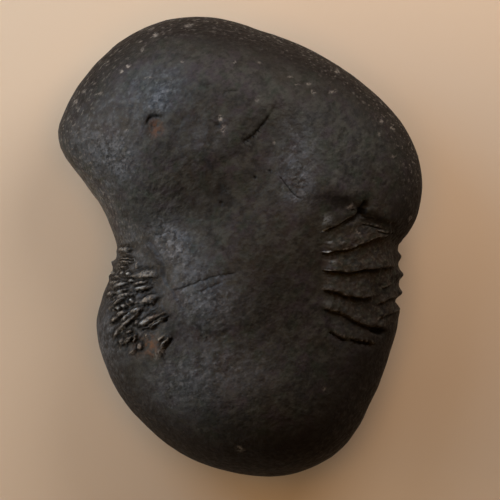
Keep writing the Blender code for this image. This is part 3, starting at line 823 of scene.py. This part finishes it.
x, y, z = points.T
on_top = z > RIM_HEIGHT - SIDE_FADE
over_rim = ease((z - RIM_HEIGHT) / SIDE_FADE + 1)
in_reach = z > RIM_HEIGHT - RIB_REACH - RIB_FADE
east, west = (mound(x, y, shape[:5] + (1.0,), WINDOW_POWER) * in_reach for shape in WINDOWS.values())
window = east + west
ribbed = window > WINDOW_EDGE
fade = 1 - ease((RIM_HEIGHT - RIB_REACH - z) / RIB_FADE)
stray_x, stray_y = strayed(*CREST_STRAY, ribbed)
crack_x, crack_y = strayed(*CRACK_STRAY, on_top)
rough_x, rough_y = strayed(*SPOT_STRAY, on_top)
print(int(ribbed.sum()), "of", len(points), "points in the windows")

# %% Relief of the windows
FIBRE = 0.12  # height of the broken fibres along the ribs
ALONG_RIBS = (0.35, 1.0, 1.0)  # it squeezes x, so the fibres are long from side to side
GRIT = 0.13  # height of the lumps between them
RAGGED = 0.7  # how much of the roughness of spots the bars have
BAR_HEIGHT = 1.1  # the bars stand this many times their listed height
FINE_WARP = 0.5  # share of the finer lumps that bend the small ribs
SMALL_RIBS, SMALL_RIBS_CHANGE = 0.8, 1.5  # how much they show, and how far that changes
BROW_UNEVEN = 0.5  # how much the brow's height changes along it

relief, gap_shade, crest_highlight = rib_relief(stray_x, stray_y, noise_at(points, *NOISE["gaps"], ribbed))
fibre = FIBRE * noise_at(points * ALONG_RIBS, *NOISE["fibres"], ribbed)
fibre = (fibre + GRIT * noise_at(points, *NOISE["grit"], ribbed)) * np.clip(window, 0, 1)
bars, covered, outlined = bar_relief(stray_x + RAGGED * (rough_x - x), stray_y + RAGGED * (rough_y - y))
warp = noise_at(points, *NOISE["warp"], ribbed) + FINE_WARP * noise_at(points, *NOISE["fine warp"], ribbed)
shown = np.clip(SMALL_RIBS + SMALL_RIBS_CHANGE * noise_at(points, *NOISE["small ribs"], ribbed), 0, 1)
wave = small_ribs(x, y, warp) * np.clip(west, 0, 1) * (1 - covered) * shown
brow = brow_relief(x, y) * (1 + BROW_UNEVEN * noise_at(points, *NOISE["brow"], ribbed))
gone = sum(mound(x, y, place, SPOT_POWER) for place in HOLLOWS)
relief = relief + sum(mound(x, y, (cx, cy, size, size, 0, high)) for cx, cy, size, high in NUBS)
relief = relief + brow - gone
print("ribs from", round(float(relief.min()), 2), "to", round(float(relief.max()), 2), "mm")

# %% Relief of the whole stone
BAR_GAP = 0.4  # depth of the line round a bar

cracks = crack_depth(crack_x, crack_y)
pits = sum(depth * spot(x, y, cx, cy, radius) for cx, cy, radius, depth in PITS.values())
glint_x, glint_y = x + (rough_x - x) / 2, y + (rough_y - y) / 2
glints = sum(bright * spot(glint_x, glint_y, *place) for *place, bright in GLINTS)
knocks = sum(pale * spot(rough_x, rough_y, *place) for *place, pale in KNOCKS) * over_rim
on_the_skin = fold_relief(x, y) + flake_step(x, y) - pits - KNOCK_DEPTH * knocks
in_windows = np.maximum(relief, BAR_HEIGHT * bars) + np.minimum(relief, 0) - BAR_GAP * outlined
in_windows = in_windows + fibre + SMALL_RIB_HEIGHT * wave
push_out(bm, in_windows * fade - cracks + on_the_skin * over_rim)
print("skin from", round(float(on_the_skin.min()), 2), "to", round(float(on_the_skin.max()), 2), "mm")

# %% [markdown]
# ## Worn flat below
# The stone rests on a side that is worn almost flat.  A sharp cut would leave an edge that no
# river leaves, so the heights are bent softly to the ground.  Last, the stone is
# fitted to the box of the plain solid that it stands for.

# %% Worn flat below
GROUND_SOFTNESS = 0.5  # how gradually the underside meets the ground, mm

points = positions(bm)
height = points[:, 2]
points[:, 2] = (height + np.sqrt(height**2 + GROUND_SOFTNESS**2)) / 2
low, high = points.min(axis=0), points.max(axis=0)
cad_low, cad_high = (np.array(corner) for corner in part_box(NODE))
points = cad_low + (points - low) * (cad_high - cad_low) / (high - low)
move_to(bm, points)
bmesh.ops.recalc_face_normals(bm, faces=bm.faces[:])
print("size before the fit, mm:", [round(float(size), 2) for size in high - low])

# %% The stone's object
mesh = bpy.data.meshes.new("nodule")
bm.to_mesh(mesh)
bm.free()
mesh.shade_smooth()
nodule = bpy.data.objects.new("nodule", mesh)
bpy.context.scene.collection.objects.link(nodule)
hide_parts(NODE)
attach(nodule, "root")
print("stone of", len(mesh.polygons), "faces")

# %% [markdown]
# ## Marks for the finish
# The finish has to know where the gaps, knocks and rust lie.  These are kept on the mesh as
# named values, one number for each point, which the material reads.  Others say how the skin
# was worn: the knolls are polished, both ends keep a rough brown skin, the fold is streaked,
# and pale scuffs lie on the upper rim.  Several also carry painted light: shade in the gaps,
# cracks, pits and under the brow, on the sides and towards the bottom, highlights on the
# crests, glints on the ribs, and sheen on the knolls.

# %% Places of the marks
RUST = (  # x, y, half length, half width, turn, how rusty
    (-21.3, 30.2, 1.5, 1.7, 0, 1), (-22.8, -25.4, 2.2, 2.4, 20, 0.8), (-26.4, -24.5, 1.2, 1.6, 0, 0.35),
    (-21.6, -17.9, 1.4, 0.8, 20, 0.5), (-26.6, -27.3, 1, 0.6, 20, 0.4),
)
POLISH_AND_SHEEN = (  # the same, and how polished; the colour also paints the sheen there
    (-35, 24.5, 10, 8, -60, 0.8), (-31.5, 22.5, 4, 3, -40, 0.8), (-23.5, 39, 11, 7, 20, 0.5),
    (-20, 38, 5.5, 2.4, 60, 0.6), (-18.5, 1.5, 5.5, 3.5, -50, 1), (-15, 0, 8, 5, -60, 0.5),
    (-8.5, -15, 8.5, 6.5, 20, 0.8), (14, 23, 8, 5, 80, 0.7), (15.5, 14.5, 4.5, 3, 70, 0.8),
    (-13, -34, 11, 8, 10, 0.6), (0, -30.5, 9, 6, -10, 0.3), (-14, -9.5, 5, 4, 0, 0.35),
    (-9, 27, 8, 5, 30, 0.35), (-28.5, 0, 4, 9, 10, 0.5), (-35.5, 12, 4, 5, 30, 0.3),
    (-27, -15, 9, 6, 74, 0.8), (-38, -28, 12, 5, -80, 0.7), (-31, -21, 8, 3.5, 80, 0.35),
)
ROUGH_SKIN_AND_SHADE = (  # the same, for the rough brown skin that the river has not polished; towards the bottom its darker colour is painted shade
    (-2, 56, 26, 6, -14, 1), (22, 44, 14, 8, -35, 0.4), (6, -56, 34, 11, 8, 1),
    (26, -38, 16, 11, 60, 0.4), (-20, -46, 9, 5, -30, 0.6), (8, -8, 16, 8, 90, 0.5),
    (-6, 14, 7, 5, 30, 0.5),
)
STREAKED = (  # the same, for the streaks in the fold
    (-24, 12, 11, 8, 30, 0.7), (-14, 15, 9, 7, 40, 0.6), (-20, 5, 7, 4, 35, 0.8),
)
SHADE_SPOTS = (  # the same, for painted shade in pits and creases, between ribs and under the brow
    (-8.6, 21.2, 1.5, 0.8, 50, 0.5), (-4.9, 14.9, 1.6, 0.9, 70, 0.6), (-4.6, 11.2, 0.7, 0.5, 0, 0.9),
    (3.8, 17.7, 0.6, 0.45, 0, 1), (7.6, 19.3, 0.35, 0.35, 0, 0.7), (-14.5, 32.4, 3.4, 0.7, 42, 0.4),
    (33.5, 7.6, 5.5, 2, -15, 0.7), (25, 12.6, 5.5, 1.3, -10, 0.6), (41, 6.5, 3.5, 2, 40, 0.4),
    (-5.6, 31.1, 0.8, 0.7, 0, 0.8), (-18.5, -17.5, 6, 2.5, -50, 0.35), (-22.5, 5.5, 5, 1.6, -35, 0.35),
    (-9.5, 17.5, 5.5, 2.4, 75, 0.2), (-11.9, 19.5, 1.2, 0.7, 60, 0.4), (-10.6, 14, 1.4, 0.6, 40, 0.4),
    (-7.6, 18.5, 3, 1.5, 60, 0.25), (-7.3, 20.6, 0.9, 0.5, 10, 0.7), (-5, 13.5, 1.6, 1, 30, 0.6),
    (2, 10.2, 0.5, 0.4, 0, 0.6), (43.5, 6, 5, 8, 0, 0.9), (21.8, 11.6, 4.5, 2.6, -8, 0.45),
    (-21.6, -2.9, 4, 0.6, -61, 0.4), (32.7, -6.2, 3.4, 0.8, 0, 0.6), (31.7, -13.6, 2.4, 0.7, 0, 0.6),
    (37.1, -11.4, 2.2, 0.7, 25, 0.5), (34, -15, 7, 8, 0, 0.25),
)
print(len(POLISH_AND_SHEEN), "polished places,", len(ROUGH_SKIN_AND_SHADE), "rough ones,", len(SHADE_SPOTS), "dark spots")

# %% Marks on the mesh
BAR_COVERS = 0.6  # how much of a gap's painted shade a bar hides
BAR_HIGHLIGHT = 0.9  # how much painted highlight the back of a bar gets
BAR_LINE_SHADE = 2.8  # how dark the painted shade in the line round a bar is
WAVE_SHADE, WAVE_FROM = 0.5, 0.2  # how dark the painted shade in the gaps of the small ribs is, and from what depth
CRACK_SHADE = 0.25  # a crack as deep as this is painted fully dark, as shade
GRAIN, GRAIN_CHANGE = 0.55, 1.1  # how much fine grain shows, and how far that changes
EDGE_FROM, EDGE_WIDTH = 42.0, 14.0  # painted shade darkens the sides below this height, over this depth,
EDGE_SHARE = 0.6  # but only this much so on the upper part,
EDGE_SOUTH, EDGE_OVER = -30.0, 15.0  # and more and more from here down,
UNSHADED_EDGE = (-40.0, 10.0, 16.0, 22.0)  # and not at all here, on the lit left
SCUFF_FROM, SCUFF_WIDTH = 40.0, 10.0  # the scuffs of the rim start below this height,
SCUFF_SOUTH, SCUFF_OVER = -30.0, 40.0  # and come in from here up,
SCUFFS, SCUFF_CHANGE = 0.4, 2.5  # in patches


def blend(places):
    """How strongly a mark shows, summed over its places, which have soft edges."""
    return sum(strength * mound(rough_x, rough_y, (*place, 1.0)) for *place, strength in places) * over_rim


# Painted shade in the gaps of the small ribs and in the line round each bar.
small_gap_shade = WAVE_SHADE * ease(-wave - WAVE_FROM)
gap_shade = np.maximum.reduce((gap_shade * (1 - BAR_COVERS * covered), gone, small_gap_shade, BAR_LINE_SHADE * outlined))
# Painted shade in pits and creases, between the ribs and under the brow.
painted_shade = blend(SHADE_SPOTS)
# Painted shade on the sides, left off on the lit left.
edge = ease((EDGE_FROM - z) / EDGE_WIDTH) * (1 - spot(x, y, *UNSHADED_EDGE))
patches = np.clip(SCUFFS + SCUFF_CHANGE * noise_at(points, *NOISE["scuffs"], on_top), 0, 1)
scuffs = ease((SCUFF_FROM - z) / SCUFF_WIDTH) * over_rim * ease((y - SCUFF_SOUTH) / SCUFF_OVER) * patches
MARKS = {
    # painted shade in the gaps, cracks, hollows, pits and creases
    "gap_shade": np.maximum(gap_shade * fade, np.clip(cracks / CRACK_SHADE, 0, 1)) + painted_shade,
    # painted highlight on the crests and the backs of the bars
    "crest_highlight": np.maximum(crest_highlight, BAR_HIGHLIGHT * covered**2) * fade,
    # painted glints
    "painted_glint": glints * fade,
    "knock": knocks,
    "rust": blend(RUST),
    "grain": GRAIN + GRAIN_CHANGE * noise_at(points, *NOISE["grain"]),
    "east": east,
    "west": west,
    # polish, and the sheen painted into the colour
    "polish_and_sheen": blend(POLISH_AND_SHEEN) * (1 - np.clip(east, 0, 1)),
    # rough brown skin, and painted shade on the sides and towards the bottom
    "matte_and_shade": blend(ROUGH_SKIN_AND_SHADE) + edge,
    # painted shade on the sides, darkest towards the bottom
    "edge": edge * (EDGE_SHARE + (1 - EDGE_SHARE) * ease((EDGE_SOUTH - y) / EDGE_OVER)),
    "streak": blend(STREAKED),
    "rim": scuffs * (1 - np.clip(painted_shade + window, 0, 1)),
}
for name, values in MARKS.items():
    layer = mesh.attributes.new(name, "FLOAT", "POINT")
    layer.data.foreach_set("value", np.clip(values, 0, 1).astype(np.float32))
print(len(MARKS), "marks; share of points in a window", round(float(window.mean()), 2))

# %% [markdown]
# ## Black stone, polished by a river
# The nodule is ironstone, a hard rock that iron has stained almost black.  Years of rolling in
# gravel polish it to a satin sheen, but never evenly: fine pits break the sheen up into a
# mottle.  One noise would look printed, so the colour is many thin layers.  Each is let
# through by lumps of its own, and most by a mark as well, so that rust and the brown skin come
# where the stone has them.  Some layers are painted light: a sheen on the worn knolls,
# highlights on the crests, glints, and shade in the gaps, on the sides and towards the bottom.

# %% Colour of the stone
STONE_IOR = 1.5  # as in most minerals
GLOSS = 0.17  # a smooth skin has 0.5, but the pits swallow most of it

stone = bpy.data.materials.new("river_worn_ironstone")
stone.use_nodes = True
tree = stone.node_tree
shader = tree.nodes["Principled BSDF"]
shader.inputs["IOR"].default_value = STONE_IOR
shader.inputs["Specular IOR Level"].default_value = GLOSS

object_place = add(tree, "TexCoord").outputs["Object"]
in_mm = add(tree, "VectorMath", {0: object_place, "Scale": 1 / MM}, operation="SCALE").outputs[0]

# The real pits are finer than the finest lumps, 0.5 to 0.9 mm, which still show from a step away.
BASE = "#292b2b"
LAYERS = (  # mark, lumps (mm, stretched, turned), detail, noise from and to, least and most, colour
    (None, (20.0, 1.0, 0), 4.0, 0.42, 0.60, 0.0, 0.8, "#2f2b24"),
    (None, (6.0, 1.0, 0), 4.0, 0.46, 0.60, 0.0, 0.8, "#342f34"),
    (None, (4.0, 1.0, 20), 4.0, 0.52, 0.64, 0.0, 0.8, "#293029"),
    (None, (2.6, 1.2, 35), 6.0, 0.47, 0.62, 0.0, 0.7, "#3f403c"),
    (None, (2.0, 1.2, 35), 6.0, 0.50, 0.64, 0.0, 0.6, "#141312"),
    ("grain", (0.9, 1.3, 35), 4.0, 0.50, 0.68, 0.0, 0.7, "#42423d"),
    ("grain", (0.8, 1.3, 30), 4.0, 0.50, 0.68, 0.0, 0.7, "#0e0d0c"),
    # The next three darken both ends and the sides: partly the brown skin, partly painted shade, most
    # towards the bottom.
    ("matte_and_shade", (5.0, 1.0, 0), 3.0, 0.20, 0.45, 0.4, 0.9, "#191411"),
    ("edge", (3.0, 1.0, 0), 4.0, 0.25, 0.60, 0.5, 1.0, "#100d0b"),
    ("edge", (1.2, 1.4, 20), 4.0, 0.50, 0.68, 0.0, 0.6, "#3e3b39"),
    ("east", (2.2, 1.5, 10), 3.0, 0.42, 0.58, 0.0, 0.8, "#302922"),
    ("east", (1.4, 1.5, 10), 3.0, 0.50, 0.62, 0.0, 0.8, "#2a2d26"),
    ("east", (0.7, 1.5, 10), 3.0, 0.52, 0.66, 0.0, 0.5, "#4f4941"),
    # darkens the whole west window, as painted shade between the bars
    ("west", (2.0, 1.0, 0), 3.0, 0.20, 0.50, 0.5, 0.9, "#1b1b19"),
    # The next four paint the sheen of the worn knolls: a blue-grey mottle with dark flecks.
    ("polish_and_sheen", (3.6, 1.0, 0), 4.0, 0.30, 0.60, 0.2, 0.8, "#3c4148"),
    ("polish_and_sheen", (2.4, 1.3, 30), 5.0, 0.43, 0.67, 0.0, 0.8, "#5c626a"),
    ("polish_and_sheen", (1.1, 1.3, 40), 4.0, 0.53, 0.72, 0.0, 0.6, "#7c828a"),
    ("polish_and_sheen", (0.9, 1.3, 20), 4.0, 0.50, 0.64, 0.0, 0.8, "#15161a"),
    ("rust", (1.2, 1.0, 0), 3.0, 0.35, 0.60, 0.0, 0.9, "#69452a"),
    # painted highlight on the crests and the backs of the bars
    ("crest_highlight", (0.6, 1.6, 38), 3.0, 0.38, 0.60, 0.0, 0.8, "#98948d"),
    # painted shade in the gaps, cracks, hollows and dark spots
    ("gap_shade", (0.7, 1.0, 0), 2.0, 0.20, 0.50, 0.5, 1.0, "#0a0908"),
    ("rim", (0.9, 2.0, 35), 2.0, 0.59, 0.68, 0.0, 0.9, "#928e88"),
    ("knock", (0.5, 1.6, 35), 2.0, 0.38, 0.55, 0.0, 0.9, "#8f8a84"),
    # painted glints, pale bluish highlights on the ribs
    ("painted_glint", (0.5, 1.5, 20), 2.0, 0.30, 0.50, 0.0, 0.9, "#a3adb5"),
)

colour = linear(BASE)
for mark, (size, stretch, turn), detail, low, high, least, most, code in LAYERS:
    lump = {"Vector": in_mm, "Rotation": (0, 0, math.radians(turn)), "Scale": (size * stretch, size, size)}
    place = add(tree, "Mapping", lump, vector_type="TEXTURE")
    lumps = add(tree, "TexNoise", {"Vector": place.outputs[0], "Scale": 1.0, "Detail": detail})
    span = {"Value": lumps.outputs["Fac"], "From Min": low, "From Max": high,
            "To Min": least, "To Max": most}
    share = add(tree, "MapRange", span).outputs["Result"]
    if mark:
        kept = add(tree, "Attribute", attribute_name=mark)
        share = add(tree, "Math", {0: share, 1: kept.outputs["Fac"]}, operation="MULTIPLY").outputs[0]
    mixed = {"Fac": share, "Color1": colour, "Color2": linear(code)}
    colour = add(tree, "MixRGB", mixed).outputs["Color"]
tree.links.new(colour, shader.inputs["Base Color"])
print(len(LAYERS), "layers of colour")

# %% [markdown]
# ## Sheen and bump
# What the eye takes for polish is the roughness, helped by the sheen painted into the colour.
# The plain stone is half matte, the worn knolls are glossier and the brown skin is rougher, and
# small flecks change it everywhere.  Pits and streaks that are too fine for the mesh are bumps.

# %% Sheen of the stone
MATTE_ROUGHNESS = 0.72
PLAIN_ROUGHNESS = 0.54
POLISHED_ROUGHNESS = 0.32
FLECK_SIZE = 1.1  # mm
FLECK_CHANGE = 0.1  # how much rougher or smoother a fleck is
FLECK_FROM, FLECK_TO = 0.3, 0.7  # most of a noise lies between these
SHEENS = {"polish_and_sheen": POLISHED_ROUGHNESS, "matte_and_shade": MATTE_ROUGHNESS}

fleck = add(tree, "TexNoise", {"Vector": in_mm, "Scale": 1 / FLECK_SIZE, "Detail": 3.0}).outputs["Fac"]
span = {"Value": fleck, "From Min": FLECK_FROM, "From Max": FLECK_TO,
        "To Min": PLAIN_ROUGHNESS - FLECK_CHANGE, "To Max": PLAIN_ROUGHNESS + FLECK_CHANGE}
rough = add(tree, "MapRange", span).outputs["Result"]
for mark, roughness in SHEENS.items():
    kept = add(tree, "Attribute", attribute_name=mark).outputs["Fac"]
    change = {0: kept, 1: roughness - PLAIN_ROUGHNESS, 2: rough}
    rough = add(tree, "Math", change, operation="MULTIPLY_ADD").outputs[0]
tree.links.new(rough, shader.inputs["Roughness"])
print("roughness from", POLISHED_ROUGHNESS, "to", MATTE_ROUGHNESS)

# %% Bump of the stone
BUMPS = (  # mark, lumps (mm, stretched, turned), detail, height in mm
    (None, (1.2, 1.0, 0), 6.0, 0.26),
    (None, (3.6, 1.0, 0), 4.0, 0.36),
    ("grain", (0.5, 1.5, 40), 3.0, 0.10),
    ("polish_and_sheen", (1.0, 1.3, 40), 5.0, 0.36),
    ("streak", (1.5, 2.2, 45), 5.0, 0.55),
    ("matte_and_shade", (1.6, 1.6, 25), 4.0, 0.30),
)

normal = None
for mark, (size, stretch, turn), detail, height in BUMPS:
    lump = {"Vector": in_mm, "Rotation": (0, 0, math.radians(turn)), "Scale": (size * stretch, size, size)}
    place = add(tree, "Mapping", lump, vector_type="TEXTURE")
    lumps = add(tree, "TexNoise", {"Vector": place.outputs[0], "Scale": 1.0, "Detail": detail})
    raised = lumps.outputs["Fac"]
    if mark:
        kept = add(tree, "Attribute", attribute_name=mark)
        raised = add(tree, "Math", {0: raised, 1: kept.outputs["Fac"]}, operation="MULTIPLY").outputs[0]
    before = {"Normal": normal} if normal else {}
    normal = add(tree, "Bump", {"Height": raised, "Distance": height * MM, **before}).outputs["Normal"]
tree.links.new(normal, shader.inputs["Normal"])
mesh.materials.append(stone)
print("finish", stone.name, "with", len(tree.nodes), "nodes")
